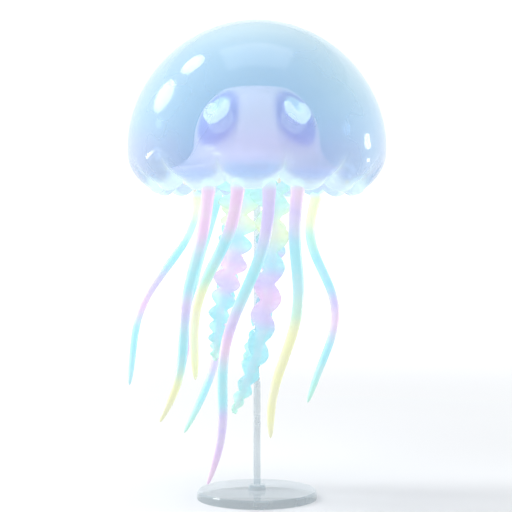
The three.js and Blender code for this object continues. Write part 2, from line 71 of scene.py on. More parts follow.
# %% [markdown]
# An operator acts on all that is selected, and loading the frame leaves its nodes
# selected. So a small helper clears the selection before anything new is added, and others
# name what was added, apply its modifiers and shade it smooth. `face_outwards` finishes a
# mesh in edit mode: spin, solidify and conversion can leave its faces turned inwards.

# %% Small helpers
def deselect_all():
    for item in bpy.context.selected_objects:
        item.select_set(False)
    bpy.context.view_layer.objects.active = None


def choose(item):
    deselect_all()
    item.select_set(True)
    bpy.context.view_layer.objects.active = item


def added(name):
    """The object that an operator has just added, under its own name."""
    item = bpy.context.active_object
    item.name = name
    item.data.name = name
    return item


def apply_all(item):
    choose(item)
    for modifier in list(item.modifiers):
        bpy.ops.object.modifier_apply(modifier=modifier.name)


def smooth(item):
    choose(item)
    bpy.ops.object.shade_smooth_by_angle(angle=math.pi)


def face_outwards(merge_distance=0):
    """Turns the faces of the active mesh outwards, after merging corners nearer than a distance."""
    bpy.ops.object.mode_set(mode="EDIT")
    bpy.ops.mesh.select_all(action="SELECT")
    if merge_distance:
        bpy.ops.mesh.remove_doubles(threshold=merge_distance * MM)
    bpy.ops.mesh.normals_make_consistent(inside=False)
    bpy.ops.object.mode_set(mode="OBJECT")


def smoothstep(value, low, high):
    share = min(max((value - low) / (high - low), 0), 1)
    return share * share * (3 - 2 * share)


def lerp(a, b, share):
    return a + (b - a) * share


deselect_all()
_, bell_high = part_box("bell")
CROWN_TOP = bell_high[2] / MM
CROWN_RISE = 121  # from the bell's widest plane to its top
WIDEST = CROWN_TOP - CROWN_RISE
print("widest plane of the bell at", round(WIDEST, 1), "mm")

# %% [markdown]
# ## Camera
# A museum model is looked at level, at about the height of its middle. A long lens from
# 1.2 m away keeps the far side of the margin nearly as large as the near side, yet lets
# the far lappets drop into view a little below the near ones.

# %% Camera
VIEW_DISTANCE = 1200
VIEW_HEIGHT = 234
VIEW_SIDE = -1
MM_PER_PIXEL = 0.9685  # at the model's axis
FRAME_PIXELS = 512
SENSOR_WIDTH = 36
NEAREST_SEEN = 50

camera_data = bpy.data.cameras.new("camera")
camera = bpy.data.objects.new("camera", camera_data)
scene.collection.objects.link(camera)
camera.location = Vector((VIEW_SIDE, -VIEW_DISTANCE, VIEW_HEIGHT)) * MM
camera.rotation_euler = (math.pi / 2, 0, 0)
camera_data.sensor_width = SENSOR_WIDTH
camera_data.lens = SENSOR_WIDTH * VIEW_DISTANCE / (MM_PER_PIXEL * FRAME_PIXELS)
camera_data.clip_start = NEAREST_SEEN * MM
scene.camera = camera
print("lens", round(camera_data.lens, 1), "mm")

# %% [markdown]
# ## Floor
# The floor is a wide round dish of paper whose edge curves up into a wall, so from no side
# does a horizon cut through the clear bell. Its outline is extruded point by point from one
# corner and spun about the upright axis. The paper glows a little, and more so out on the
# wall, which the lamps hardly reach. It doesn't light the model, or the jelly would drown
# in white.

# %% A spun shape
MERGE_DISTANCE = 0.01


def spun(name, points, rise, steps):
    """Extrudes an outline of (radius, height) points from one corner and spins it."""
    deselect_all()
    bpy.ops.mesh.primitive_plane_add(size=1)
    item = added(name)
    bpy.ops.object.mode_set(mode="EDIT")
    bpy.ops.mesh.select_all(action="SELECT")
    bpy.ops.mesh.merge(type="CENTER")
    here = Vector((points[0][0], 0, points[0][1] + rise)) * MM
    bpy.ops.transform.translate(value=here)
    for radius, height in points[1:]:
        place = Vector((radius, 0, height + rise)) * MM
        bpy.ops.mesh.extrude_region_move(TRANSFORM_OT_translate={"value": place - here})
        here = place
    bpy.ops.mesh.select_all(action="SELECT")
    bpy.ops.mesh.spin(steps=steps, angle=math.tau, center=(0, 0, 0), axis=(0, 0, 1))
    bpy.ops.object.mode_set(mode="OBJECT")
    face_outwards(MERGE_DISTANCE)
    return item


# %% Floor
FLOOR_RADIUS = 2200
SWEEP_RADIUS = 900
SWEEP_STEPS = 16
DISH_SIDES = 96
WALL_HEIGHT = 2600
PAPER = (0.8, 0.81, 0.82)
FLOOR_GLOW = 0.1
WALL_GLOW = 0.86
GLOW_STARTS = 300  # the paper glows more from this far from the dish's middle
GLOW_FULL = 2600


def dish_outline():
    points = [(0, 0), (FLOOR_RADIUS / 2, 0), (FLOOR_RADIUS, 0)]
    for step in range(1, SWEEP_STEPS + 1):
        turn = step / SWEEP_STEPS * math.pi / 2
        height = SWEEP_RADIUS * (1 - math.cos(turn))
        points.append((FLOOR_RADIUS + SWEEP_RADIUS * math.sin(turn), height))
    points.append((FLOOR_RADIUS + SWEEP_RADIUS, WALL_HEIGHT))
    return points


def paper_finish():
    material = bpy.data.materials.new("studio_paper")
    material.use_nodes = True
    nodes, links = material.node_tree.nodes, material.node_tree.links
    shader = nodes["Principled BSDF"]
    shader.inputs["Base Color"].default_value = (*PAPER, 1)
    shader.inputs["Emission Color"].default_value = (*PAPER, 1)
    shader.inputs["Roughness"].default_value = 0.9
    place = nodes.new("ShaderNodeTexCoord")
    length = nodes.new("ShaderNodeVectorMath")
    length.operation = "LENGTH"
    links.new(place.outputs["Object"], length.inputs[0])
    glow = nodes.new("ShaderNodeMapRange")
    glow.interpolation_type = "SMOOTHSTEP"
    links.new(length.outputs["Value"], glow.inputs["Value"])
    glow.inputs["From Min"].default_value = GLOW_STARTS * MM
    glow.inputs["From Max"].default_value = GLOW_FULL * MM
    glow.inputs["To Min"].default_value = FLOOR_GLOW
    glow.inputs["To Max"].default_value = WALL_GLOW
    links.new(glow.outputs["Result"], shader.inputs["Emission Strength"])
    return material


floor = spun("studio_dish", dish_outline(), 0, DISH_SIDES)
floor.data.materials.append(paper_finish())
smooth(floor)
floor.visible_diffuse = False  # the even light comes from the air, not from the paper
print("faces in the studio dish:", len(floor.data.polygons))

# %% [markdown]
# ## Light
# Wet jelly is seen by what it mirrors. So six lamps are placed by the glint that each should
# leave: a point on the skin, and from there roughly the way in which the skin mirrors the
# camera's line of sight. Two leave the long glints high on the left, one the shine on top,
# and three the spots at the sides. The key and fill lamps light the model but aren't
# mirrored, and the air gives the rest.

# %% Light
def softbox(name, surface, direction, distance, size, along, power, shape="ELLIPSE"):
    """A soft lamp at a distance along a direction from a point, its width lying along a line."""
    data = bpy.data.lights.new(name, "AREA")
    data.shape = shape
    data.size, data.size_y = size[0] * MM, size[1] * MM
    data.energy = power
    back = Vector(direction).normalized()
    across = (Vector(along) - back * back.dot(Vector(along))).normalized()
    up = back.cross(across)
    box = bpy.data.objects.new(name, data)
    scene.collection.objects.link(box)
    turn = Matrix((across, up, back)).transposed().to_4x4()
    box.matrix_world = Matrix.Translation((Vector(surface) + back * distance) * MM) @ turn
    box.visible_camera = False
    return box


SIDEWAYS = (1, 0, 0)
UPWARDS = (0, 0, 1)
MIDDLE = (0, 0, WIDEST)
softbox(
    "window_high", (-59, -85, 406), (-0.566, 0.232, 0.791), 1600,
    size=(400, 470), along=(-0.203, 0, -0.146), power=8,
)
softbox(
    "window_low", (-84, -82, 379), (-0.815, 0.262, 0.517), 1600,
    size=(540, 600), along=(-0.133, 0.131, -0.278), power=11,
)
softbox(
    "overhead", (0, -97, 414), (0, -0.04, 1), 1500,
    size=(1150, 760), along=SIDEWAYS, power=8, shape="RECTANGLE",
)
softbox(
    "side_spot", (101, -74, 337), (0.924, 0.373, 0.085), 1500,
    size=(260, 260), along=UPWARDS, power=3,
)
softbox(
    "low_spot_right", (100, -71, 321), (0.842, 0.487, -0.232), 1150,
    size=(150, 200), along=UPWARDS, power=1.6,
)
softbox(
    "low_spot_left", (-98, -75, 325), (-0.933, 0.258, -0.251), 1100,
    size=(190, 230), along=UPWARDS, power=2,
)
key = softbox(
    "key", MIDDLE, (-0.62, -0.62, 0.48), 2500,
    size=(1100, 1100), along=SIDEWAYS, power=10, shape="RECTANGLE",
)
fill = softbox(
    "fill", MIDDLE, (0.75, -0.6, 0.28), 2300,
    size=(1400, 1400), along=SIDEWAYS, power=3, shape="RECTANGLE",
)
for lamp in (key, fill):
    lamp.visible_glossy = False  # their hard edges would cross the wet skin as thin lines

# %% Air
AIR = (0.95, 0.97, 1)
AIR_STRENGTH = 0.44

world = bpy.data.worlds.new("studio_air")
world.use_nodes = True
background = world.node_tree.nodes["Background"]
background.inputs["Color"].default_value = (*AIR, 1)
background.inputs["Strength"].default_value = AIR_STRENGTH
scene.world = world
scene.view_settings.view_transform = "Standard"
scene.cycles.transparent_max_bounces = 48  # a line of sight crosses many clear skins
scene.cycles.max_bounces = 12

# %% [markdown]
# ## The body as one skin
# The bell, the lining of the hollow under it and the throat are one piece of flesh on the
# animal, so they are one skin here. The form is round, which makes it a job for spin: the
# outline from the top of the crown, down the flank, round the lip, up into the hollow and
# down the throat to the mouth is extruded point by point from a single corner, and then
# spun about the upright axis. The scallops come after, as small moves of the corners.

# %% Sizes of the bell
BELL_RADIUS = 125
CROWN_POWER = 1.88  # under 2 gives a slightly pointed dome
FLANK_REACH = 58  # below the widest plane the bell would close at this depth
FLANK_POWER = 3  # over 2 keeps the flank full before it turns in
FLANK_FOOT = -39
MARGIN_DEPTH = 44
LIP_RADIUS = 95  # where the lowest edge of the margin lies
LIP_TURN_IN = 3  # how far the flank turns in as it becomes the lip
WALL_RADIUS = 88  # inner side of the margin
WALL_TOP = -20
WALL_BEND = -28
WALL_FOOT = -35
WALL_SLANT = 1  # how far the inner side leans in at its top
LAPPETS = 16
CROWN_STEPS = 48
FLANK_STEPS = 20
LIP_STEPS = 8
WALL_STEPS = 4
SPIN_STEPS = LAPPETS * 20

# %% Sizes of the hollow and the throat
DOME_RADIUS = 64
DOME_RISE = 65
DOME_POWER = 2.15
LINING_THICKNESS = 2.8
SKIRT_LEAN = (4, 2)  # out and up, how the roof runs on into the margin
THROAT_TOP_RADIUS = 25
THROAT_MARGIN = 5  # how far outside the throat's top the roof turns down into it
THROAT_WAIST_RADIUS = 18
THROAT_WAIST = 22
THROAT_FLARE = -6  # the lower, the later the throat flares below its waist
THROAT_FOOT_RADIUS = 28
THROAT_FOOT = -16
THROAT_LIP = 4  # thickness of its flared foot
MOUTH_EDGE = 5  # how far in the rounded edge of that foot reaches
MOUTH_BEND = 12
MOUTH_HOLLOW = 1  # how far the middle of the mouth is raised
SKIRT_STEPS = 14
ROOF_STEPS = 20
THROAT_STEPS = 16
FLARE_STEPS = 14
EDGE_STEPS = 5
MOUTH_STEPS = 8

# %% The outline
def superellipse(radius, rise, radius_power, rise_power, angle):
    side = max(math.sin(angle), 0) ** (2 / radius_power)
    height = max(math.cos(angle), 0) ** (2 / rise_power)
    return radius * side, rise * height


def curve_through(start, handle, end, steps):
    """Points of a bend from start to end that leans on its handle, without the start."""
    points = []
    for step in range(1, steps + 1):
        t = step / steps
        near, lean, far = (1 - t) ** 2, 2 * t * (1 - t), t * t
        points.append(tuple(near * a + lean * b + far * c for a, b, c in zip(start, handle, end)))
    return points


def bell_outline():
    """From the top of the crown round the lip to the foot of the margin's inner wall."""
    points = [(0, CROWN_RISE)]
    for step in range(1, CROWN_STEPS + 1):
        angle = step / CROWN_STEPS * math.pi / 2
        points.append(superellipse(BELL_RADIUS, CROWN_RISE, 2, CROWN_POWER, angle))
    for step in range(1, FLANK_STEPS + 1):
        height = FLANK_FOOT * step / FLANK_STEPS
        narrowed = abs(height / FLANK_REACH) ** FLANK_POWER
        points.append((BELL_RADIUS * math.sqrt(1 - narrowed), height))
    foot = points[-1]
    lowest = LIP_RADIUS, -MARGIN_DEPTH
    wall_foot = WALL_RADIUS, WALL_FOOT
    points += curve_through(foot, (foot[0] - LIP_TURN_IN, -MARGIN_DEPTH), lowest, LIP_STEPS)
    points += curve_through(lowest, (WALL_RADIUS, -MARGIN_DEPTH), wall_foot, LIP_STEPS)
    return points


def hollow_outline(wall_foot):
    """From the foot of the inner wall up and over the roof of the hollow to the throat."""
    radius, rise = DOME_RADIUS - LINING_THICKNESS, DOME_RISE - LINING_THICKNESS
    wall_top = WALL_RADIUS - WALL_SLANT, WALL_TOP - LINING_THICKNESS
    skirt_bend = radius + SKIRT_LEAN[0], WALL_TOP + SKIRT_LEAN[1]
    points = curve_through(wall_foot, (WALL_RADIUS, WALL_BEND), wall_top, WALL_STEPS)
    points += curve_through(wall_top, skirt_bend, (radius, 0), SKIRT_STEPS)
    throat_angle = math.asin((THROAT_TOP_RADIUS + THROAT_MARGIN) / radius)
    for step in range(1, ROOF_STEPS + 1):
        angle = lerp(math.pi / 2, throat_angle, step / ROOF_STEPS)
        points.append(superellipse(radius, rise, DOME_POWER, DOME_POWER, angle))
    return points


def throat_outline(top):
    """From the roof down the throat, round its flared lip and in to the middle of the mouth."""
    waist = THROAT_WAIST_RADIUS, THROAT_WAIST
    flared = THROAT_FOOT_RADIUS, THROAT_FOOT + THROAT_LIP
    edge = THROAT_FOOT_RADIUS - MOUTH_EDGE, THROAT_FOOT
    points = curve_through(top, (THROAT_WAIST_RADIUS, top[1]), waist, THROAT_STEPS)
    points += curve_through(waist, (THROAT_WAIST_RADIUS, THROAT_FLARE), flared, FLARE_STEPS)
    points += curve_through(flared, (THROAT_FOOT_RADIUS, THROAT_FOOT), edge, EDGE_STEPS)
    middle = 0, THROAT_FOOT + MOUTH_HOLLOW
    points += curve_through(edge, (MOUTH_BEND, THROAT_FOOT), middle, MOUTH_STEPS)
    return points


outline = bell_outline()
outline += hollow_outline(outline[-1])
outline += throat_outline(outline[-1])
print("points in the outline:", len(outline))

# %% Spin the outline
body = spun("jelly_body", outline, WIDEST, SPIN_STEPS)
print("faces in the body:", len(body.data.polygons))

# %% [markdown]
# ## Scallops, creases and the mouth's corners
# The margin of a moon jellyfish is cut into sixteen lappets. Each bulges like a small
# cushion, a crease runs up the flank between it and the next, and every second notch is
# deeper, because it holds a sense organ. All of this is one rule of the angle and the
# height, so each corner of the mesh is moved by that rule instead of being pulled by hand.
# Each lappet also has a length of its own, from a small formula that scatters numbers but
# gives the same ones each time, so the sixteen are alike but not the same.

# %% Sizes of the margin
SENSE_ORGANS = 8
BODY_TURN = math.radians(11.25)  # from a lappet's middle to its edge
CREASE_TOP = -6  # the creases between lappets fade out at this height
CREASE_FULL = -34  # and are deepest from this height down
CREASE_DEPTH = 0.065  # share of the radius
CREASE_REACH = 5  # how far outside LIP_RADIUS the creases come to their full depth
LAPPET_FULLNESS = 0.8  # under 1 makes a lappet blunter than a plain wave
LAPPET_SPREAD = 0.25  # the higher, the wider the lappets in front and the narrower behind
LAPPET_TURN = math.radians(-2)  # turns the front lappet a little to the left
LAPPET_UNEVENNESS = 4  # the most that a lappet reaches further down than the plain margin
TURN_CORRECTIONS = 12
NOTCH_TOP = 24  # no notch reaches above this depth
NOTCH_RISE = 5.5
DEEP_NOTCH_RISE = 7.5
NOTCH_RADII = (45, 70)  # between these the notches fade out towards the throat
MOUTH_CORNERS = 4
THROAT_CORNERS = 0.17  # share of the radius by which the mouth's corners stand out
THROAT_CORNERS_TOP = 30  # the corners fade out at this height
CORNER_RADII = (34, 42)  # between these the corners fade out towards the roof


# %% Uneven lengths
WORD = 0xFFFFFFFF  # the largest whole number of 32 bits
SCATTER_STEP = 0x6D2B79F5


def scattered(seed):
    """A number from 0 to 1 that looks random, and is the same each time for the same seed."""
    state = (seed + SCATTER_STEP) & WORD
    mixed = (state ^ state >> 15) * (state | 1) & WORD
    mixed ^= mixed + ((mixed ^ mixed >> 7) * (mixed | 61) & WORD) & WORD
    return (mixed ^ mixed >> 14) / (WORD + 1)


lappet_reaches = [round(LAPPET_UNEVENNESS * scattered(number + 1), 1) for number in range(LAPPETS)]
print("how much further down each lappet reaches, in mm:", lappet_reaches)


# %% Rules of the margin
def azimuth_of(point):
    """Angle about the upright axis, counted from the front towards +X."""
    return math.atan2(point.x, -point.y)


def azimuth_at(turn):
    """Where a turn round a margin of equal lappets comes to lie, by repeated correction."""
    azimuth = turn
    for _ in range(TURN_CORRECTIONS):
        azimuth = turn + LAPPET_TURN + LAPPET_SPREAD * math.sin(azimuth)
    return azimuth


def around(azimuth, radius, height):
    return Vector((radius * math.sin(azimuth), -radius * math.cos(azimuth), height))


def lappet_swell(turn):
    """One at the middle of a lappet and nought in the crease between two."""
    return abs(math.cos(LAPPETS / 2 * turn)) ** LAPPET_FULLNESS


def lappet_reach(turn):
    return lappet_reaches[round(turn / math.tau * LAPPETS) % LAPPETS]


def deep_crease(turn):
    """One in the creases that carry a sense organ and nought in the others."""
    return (1 + math.cos(SENSE_ORGANS * (turn - BODY_TURN))) / 2


def margin_place(point):
    """Where a point of the plain round body goes, in millimetres from the widest plane."""
    turn = azimuth_of(point)
    azimuth = azimuth_at(turn)
    swell = lappet_swell(turn)
    notch = lerp(NOTCH_RISE, DEEP_NOTCH_RISE, deep_crease(turn))
    radius = math.hypot(point.x, point.y)
    outside = smoothstep(radius, WALL_RADIUS, LIP_RADIUS + CREASE_REACH)
    creased = outside * smoothstep(-point.z, -CREASE_TOP, -CREASE_FULL)
    pinch = 1 - CREASE_DEPTH * (1 - swell) * creased
    low = smoothstep(-point.z, NOTCH_TOP, MARGIN_DEPTH) * smoothstep(radius, *NOTCH_RADII)
    lift = low * (notch * (1 - swell) - lappet_reach(turn) * swell)
    mouth = smoothstep(-point.z, -THROAT_CORNERS_TOP, -THROAT_FOOT)
    corner = mouth * (1 - smoothstep(radius, *CORNER_RADII))
    pinch *= 1 + THROAT_CORNERS * corner * math.cos(MOUTH_CORNERS * (azimuth - BODY_TURN))
    return around(azimuth, radius * pinch, point.z + lift)


# %% Shape the margin
RISE_TO_WIDEST = Vector((0, 0, WIDEST))
plain_places, shaped_places = [], []
for vertex in body.data.vertices:
    plain = vertex.co / MM - RISE_TO_WIDEST
    plain_places.append(plain)
    shaped_places.append(margin_place(plain))
    vertex.co = (shaped_places[-1] + RISE_TO_WIDEST) * MM
print("lowest point of the body:", round(min(v.co.z for v in body.data.vertices) / MM, 1), "mm")

# %% [markdown]
# ## Marks on the skin
# Where the jelly is thick it is blue, the edges of the lappets are pale and cyan and glow
# with painted light, the roof of the hollow is lavender, round each gonad it is darker with
# painted shade, and the pale pouch in each gonad is also a painted highlight. These zones
# follow the form, so each is stored on the corners as a number from 0 to 1. An attribute
# like that moves with the mesh, and it is read by name in the material.

# %% Store the zones
def store(item, name, values):
    """Keeps one number for each corner of a mesh under a name."""
    layer = item.data.attributes.new(name, "FLOAT", "POINT")
    layer.data.foreach_set("value", values)


def store_colors(item, name, colors):
    layer = item.data.attributes.new(name, "FLOAT_COLOR", "POINT")
    layer.data.foreach_set("color", [part for color in colors for part in (*color, 1)])


# %% The roof and the gonads' places on it
GONAD_LATITUDE = math.radians(60)  # down from the top of the hollow
GONAD_AZIMUTHS = [math.radians(45 + 90 * quarter) for quarter in range(4)]


def on_roof(latitude, azimuth, inset):
    """A point on the roof of the hollow, measured in millimetres from the widest plane."""
    radius, rise = DOME_RADIUS - inset, DOME_RISE - inset
    side, height = superellipse(radius, rise, DOME_POWER, DOME_POWER, latitude)
    return Vector((side * math.sin(azimuth), -side * math.cos(azimuth), height))


gonad_middles = [on_roof(GONAD_LATITUDE, azimuth, LINING_THICKNESS) for azimuth in GONAD_AZIMUTHS]
print("gonads lie", round(math.hypot(*gonad_middles[0].xy)), "mm from the axis")


# %% Zones of the skin
OVER_THE_HOLLOW = DOME_RISE + 2  # above this height all of the skin is outside
RIM_BAND = (30, 41)  # depths between which the lappets turn pale
RIM_CREASES = (8, 34)  # depths between which the creases turn pale
RIM_INSIDE = 4  # how far inside WALL_RADIUS the pale rim begins
PATCH_EDGE = (18, 27)  # distances from a gonad over which the dark patch fades out
PATCH_HANG = 14  # how much further it reaches at its lower side
PATCH_HANG_TOP = 50  # the height at which it begins to reach further
PATCH_HANG_SPAN = 60  # and how far below that it does so in full
POUCH_EDGE = (12, 15.5)  # distances from a gonad over which its pale pouch fades out


def lining_share(point):
    if point.z > OVER_THE_HOLLOW:
        return 0
    return 1 - smoothstep(math.hypot(point.x, point.y), WALL_RADIUS, LIP_RADIUS)


def rim_share(point):
    swell = lappet_swell(azimuth_of(point))
    band = smoothstep(-point.z, *RIM_BAND)
    crease = (1 - swell) ** 2 * smoothstep(-point.z, *RIM_CREASES)
    outside = smoothstep(math.hypot(point.x, point.y), WALL_RADIUS - RIM_INSIDE, LIP_RADIUS)
    return min(band + crease, 1) * outside


def from_gonad(point):
    return min((point - middle).length for middle in gonad_middles)


# The dark patch round each gonad is painted shade.
def patch_share(point):
    below = smoothstep(PATCH_HANG_TOP - point.z, 0, PATCH_HANG_SPAN) * PATCH_HANG
    return (1 - smoothstep(from_gonad(point) - below, *PATCH_EDGE)) * lining_share(point)


# The pale pouch in each gonad is also a painted highlight.
def pouch_share(point):
    return (1 - smoothstep(from_gonad(point), *POUCH_EDGE)) * lining_share(point)


store(body, "lining", [lining_share(place) for place in plain_places])
store(body, "rim", [rim_share(place) for place in plain_places])
store(body, "patch", [patch_share(place) for place in shaped_places])
store(body, "pouch", [pouch_share(place) for place in shaped_places])
zones = [layer.name for layer in body.data.attributes if layer.data_type == "FLOAT"]
print("zones on the skin:", zones)

# %% [markdown]
# ## Jelly
# Living jelly is more than nine tenths water. Light goes through it and loses its red on
# the way, so a thick part looks bluer than a thin one. A Volume Absorption inside the
# skin does just that, with one colour and one density. The skin itself is only a thin
# veil: a Principled shader with low alpha, a wet coat that mirrors the softboxes, and a
# faint sheen that lights the edge. Its emission is painted light, a glow in the roof of
# the hollow and in the pale rim of the lappets.

# %% Colours and node helpers
def paint(red, green, blue):
    """A colour in the usual steps of 0 to 255, as the linear values that shaders use."""
    channels = []
    for step in (red, green, blue):
        value = step / 255
        channels.append(value / 12.92 if value <= 0.04045 else ((value + 0.055) / 1.055) ** 2.4)
    return tuple(channels)


class Finish:
    """A new material with short words for the nodes that the finishes below share."""

    def __init__(self, name):
        self.material = bpy.data.materials.new(name)
        self.material.use_nodes = True
        self.tree = self.material.node_tree
        self.shader = self.tree.nodes["Principled BSDF"]
        self.output = self.tree.nodes["Material Output"]
        self.place = self.tree.nodes.new("ShaderNodeTexCoord").outputs["Object"]

    def set(self, **values):
        for name, value in values.items():
            socket = self.shader.inputs[name.replace("_", " ")]
            socket.default_value = (*value, 1) if isinstance(value, tuple) else value

    def link(self, source, target):
        self.tree.links.new(source, self.shader.inputs[target])

    def attribute(self, name, output="Fac"):
        node = self.tree.nodes.new("ShaderNodeAttribute")
        node.attribute_name = name
        return node.outputs[output]

    def noise(self, scale, detail=3, stretch=(1, 1, 1)):
        mapping = self.tree.nodes.new("ShaderNodeMapping")
        mapping.inputs["Scale"].default_value = stretch
        self.tree.links.new(self.place, mapping.inputs["Vector"])
        node = self.tree.nodes.new("ShaderNodeTexNoise")
        node.inputs["Scale"].default_value = scale
        node.inputs["Detail"].default_value = detail
        self.tree.links.new(mapping.outputs["Vector"], node.inputs["Vector"])
        return node.outputs["Fac"]

    def along_axis(self, axis):
        """Distance along an axis in metres, which for Z is the height above the ground."""
        node = self.tree.nodes.new("ShaderNodeSeparateXYZ")
        self.tree.links.new(self.place, node.inputs["Vector"])
        return node.outputs[axis]

    def plug(self, socket, value):
        if isinstance(value, bpy.types.NodeSocket):
            self.tree.links.new(value, socket)
        elif isinstance(value, tuple):
            socket.default_value = (*value, 1)
        else:
            socket.default_value = value

    def math(self, operation, first, second=0.0):
        node = self.tree.nodes.new("ShaderNodeMath")
        node.operation = operation
        node.use_clamp = True
        self.plug(node.inputs[0], first)
        self.plug(node.inputs[1], second)
        return node.outputs["Value"]

    def remap(self, value, low, high, to_low=0.0, to_high=1.0):
        node = self.tree.nodes.new("ShaderNodeMapRange")
        node.interpolation_type = "SMOOTHSTEP"
        self.plug(node.inputs["Value"], value)
        node.inputs["From Min"].default_value = low
        node.inputs["From Max"].default_value = high
        node.inputs["To Min"].default_value = to_low
        node.inputs["To Max"].default_value = to_high
        return node.outputs["Result"]

    def mix(self, share, first, second, blend="MIX"):
        node = self.tree.nodes.new("ShaderNodeMix")
        node.data_type = "RGBA"
        node.blend_type = blend
        self.plug(node.inputs[0], share)
        self.plug(node.inputs[6], first)
        self.plug(node.inputs[7], second)
        return node.outputs[2]

    def bump(self, height, strength, distance):
        node = self.tree.nodes.new("ShaderNodeBump")
        node.inputs["Strength"].default_value = strength
        node.inputs["Distance"].default_value = distance * MM
        self.tree.links.new(height, node.inputs["Height"])
        self.link(node.outputs["Normal"], "Normal")

    def absorb(self, color, density):
        node = self.tree.nodes.new("ShaderNodeVolumeAbsorption")
        node.inputs["Color"].default_value = (*color, 1)
        node.inputs["Density"].default_value = density
        self.tree.links.new(node.outputs["Volume"], self.output.inputs["Volume"])


# %% Bell jelly
JELLY_BLUE = paint(186, 238, 250)
# the crown's painted highlight of the light from above
CROWN_HIGHLIGHT_CYAN = paint(224, 255, 252)
FLANK_LAVENDER = paint(206, 214, 248)
LAPPET_CYAN = paint(220, 255, 255)
RIM_PAINTED_GLOW = paint(238, 246, 248)
MINT_CLOUD = paint(200, 250, 228)
ROOF_LAVENDER = paint(240, 228, 240)
# painted shade round each gonad
PATCH_SHADE_LAVENDER = paint(174, 167, 224)
# colour of each gonad's pouch, also a painted highlight
POUCH_HIGHLIGHT_CYAN = paint(226, 248, 254)
UNDERSIDE = paint(190, 202, 236)
SHEEN_CYAN = paint(196, 244, 250)
FAINT_PAINTED_GLOW = (0.05, 0.06, 0.06)
# strength of the painted glow of the whole jelly skin
PAINTED_GLOW_STRENGTH = 0.48
WET_IOR = 1.4  # a little over that of water
WATER_BLUE = (0.2, 0.5, 0.83)
WATER_DENSITY = 4.4

jelly = Finish("bell_jelly")
lining = jelly.attribute("lining")
cloud = jelly.noise(11, 2)


def height_share(low, high, most=1.0):
    """Grows from nought to the most between two heights above the bell's widest plane."""
    return jelly.remap(jelly.along_axis("Z"), (WIDEST + low) * MM, (WIDEST + high) * MM, 0, most)


# %% Colours of the jelly
# The crown turns paler and more cyan upwards: a painted highlight of the light from above.
crown = height_share(66, 116)
skin_color = jelly.mix(crown, JELLY_BLUE, CROWN_HIGHLIGHT_CYAN)
flank_cloud = jelly.math("MULTIPLY", height_share(24, -10), jelly.remap(cloud, 0.3, 0.6))
skin_color = jelly.mix(flank_cloud, skin_color, FLANK_LAVENDER)
mint_side = jelly.remap(jelly.along_axis("X"), 20 * MM, 100 * MM)
mint_cloud = jelly.math("MULTIPLY", mint_side, height_share(20, 70, 0.7))
skin_color = jelly.mix(mint_cloud, skin_color, MINT_CLOUD)
skin_color = jelly.mix(jelly.attribute("rim"), skin_color, LAPPET_CYAN)
roof_color = jelly.mix(height_share(-34, -8), UNDERSIDE, ROOF_LAVENDER)
# Painted shade darkens the roof round each gonad, and a painted highlight lightens its pouch.
roof_color = jelly.mix(jelly.attribute("patch"), roof_color, PATCH_SHADE_LAVENDER)
roof_color = jelly.mix(jelly.attribute("pouch"), roof_color, POUCH_HIGHLIGHT_CYAN)
# The emission is painted light: the roof of the hollow glows in its own colours, the pale rim of
# the lappets glows in place of light from below, and the rest of the skin glows faintly.
outer_painted_glow = jelly.mix(jelly.attribute("rim"), FAINT_PAINTED_GLOW, RIM_PAINTED_GLOW)
jelly.link(jelly.mix(lining, skin_color, roof_color), "Base Color")
jelly.link(jelly.mix(lining, outer_painted_glow, roof_color), "Emission Color")

# %% Veil and shine of the jelly
rim_veil = jelly.remap(jelly.attribute("rim"), 0, 1, 0, 0.4)
veil = jelly.math("ADD", jelly.remap(cloud, 0.3, 0.7, 0.3, 0.36), rim_veil)
veil = jelly.math("ADD", veil, jelly.remap(crown, 0, 1, 0, 0.07))
jelly.link(jelly.math("MAXIMUM", veil, jelly.remap(lining, 0, 1, 0, 0.8)), "Alpha")
jelly.link(jelly.remap(lining, 0, 1, 0.1, 0.5), "Roughness")
jelly.bump(jelly.noise(40, 2), 0.02, 1)
jelly.set(IOR=WET_IOR, Coat_Weight=0.5, Coat_Roughness=0.12)
jelly.set(Sheen_Weight=0.35, Sheen_Tint=SHEEN_CYAN, Emission_Strength=PAINTED_GLOW_STRENGTH)
jelly.absorb(WATER_BLUE, WATER_DENSITY)
body.data.materials.append(jelly.material)
smooth(body)
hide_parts("bell", "subumbrella", "manubrium")
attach(body, "root")
print("nodes in the jelly:", len(jelly.tree.nodes))

# %% [markdown]
# ## Gonads
# The four pale horseshoes are what a moon jellyfish is known by. They lie under the roof
# of the hollow and are folded like a frill. A curve with a bevel is the quick way to a
# tube: its points lie on a horseshoe under the roof, and every point has its own radius. A
# fine wave in both makes the folds, and the curve is then converted to a mesh. They stand a
# little into the lining, so that they show through from above and in front.

# %% A tube along points
def tube(name, places, radii, sides):
    """A closed mesh tube along places in millimetres, with a radius at each of them."""
    deselect_all()
    bpy.ops.curve.primitive_nurbs_path_add()
    item = added(name)
    spline = item.data.splines[0]
    spline.type = "POLY"
    spline.points.add(len(places) - len(spline.points))
    for point, place, radius in zip(spline.points, places, radii):
        point.co = (*(place * MM), 1)
        point.radius = radius
    item.data.twist_mode = "MINIMUM"
    item.data.bevel_depth = MM
    item.data.bevel_resolution = sides // 4 - 1
    item.data.use_fill_caps = True
    bpy.ops.object.convert(target="MESH")
    item = bpy.context.active_object
    item.data.name = name
    face_outwards(MERGE_DISTANCE)
    return item


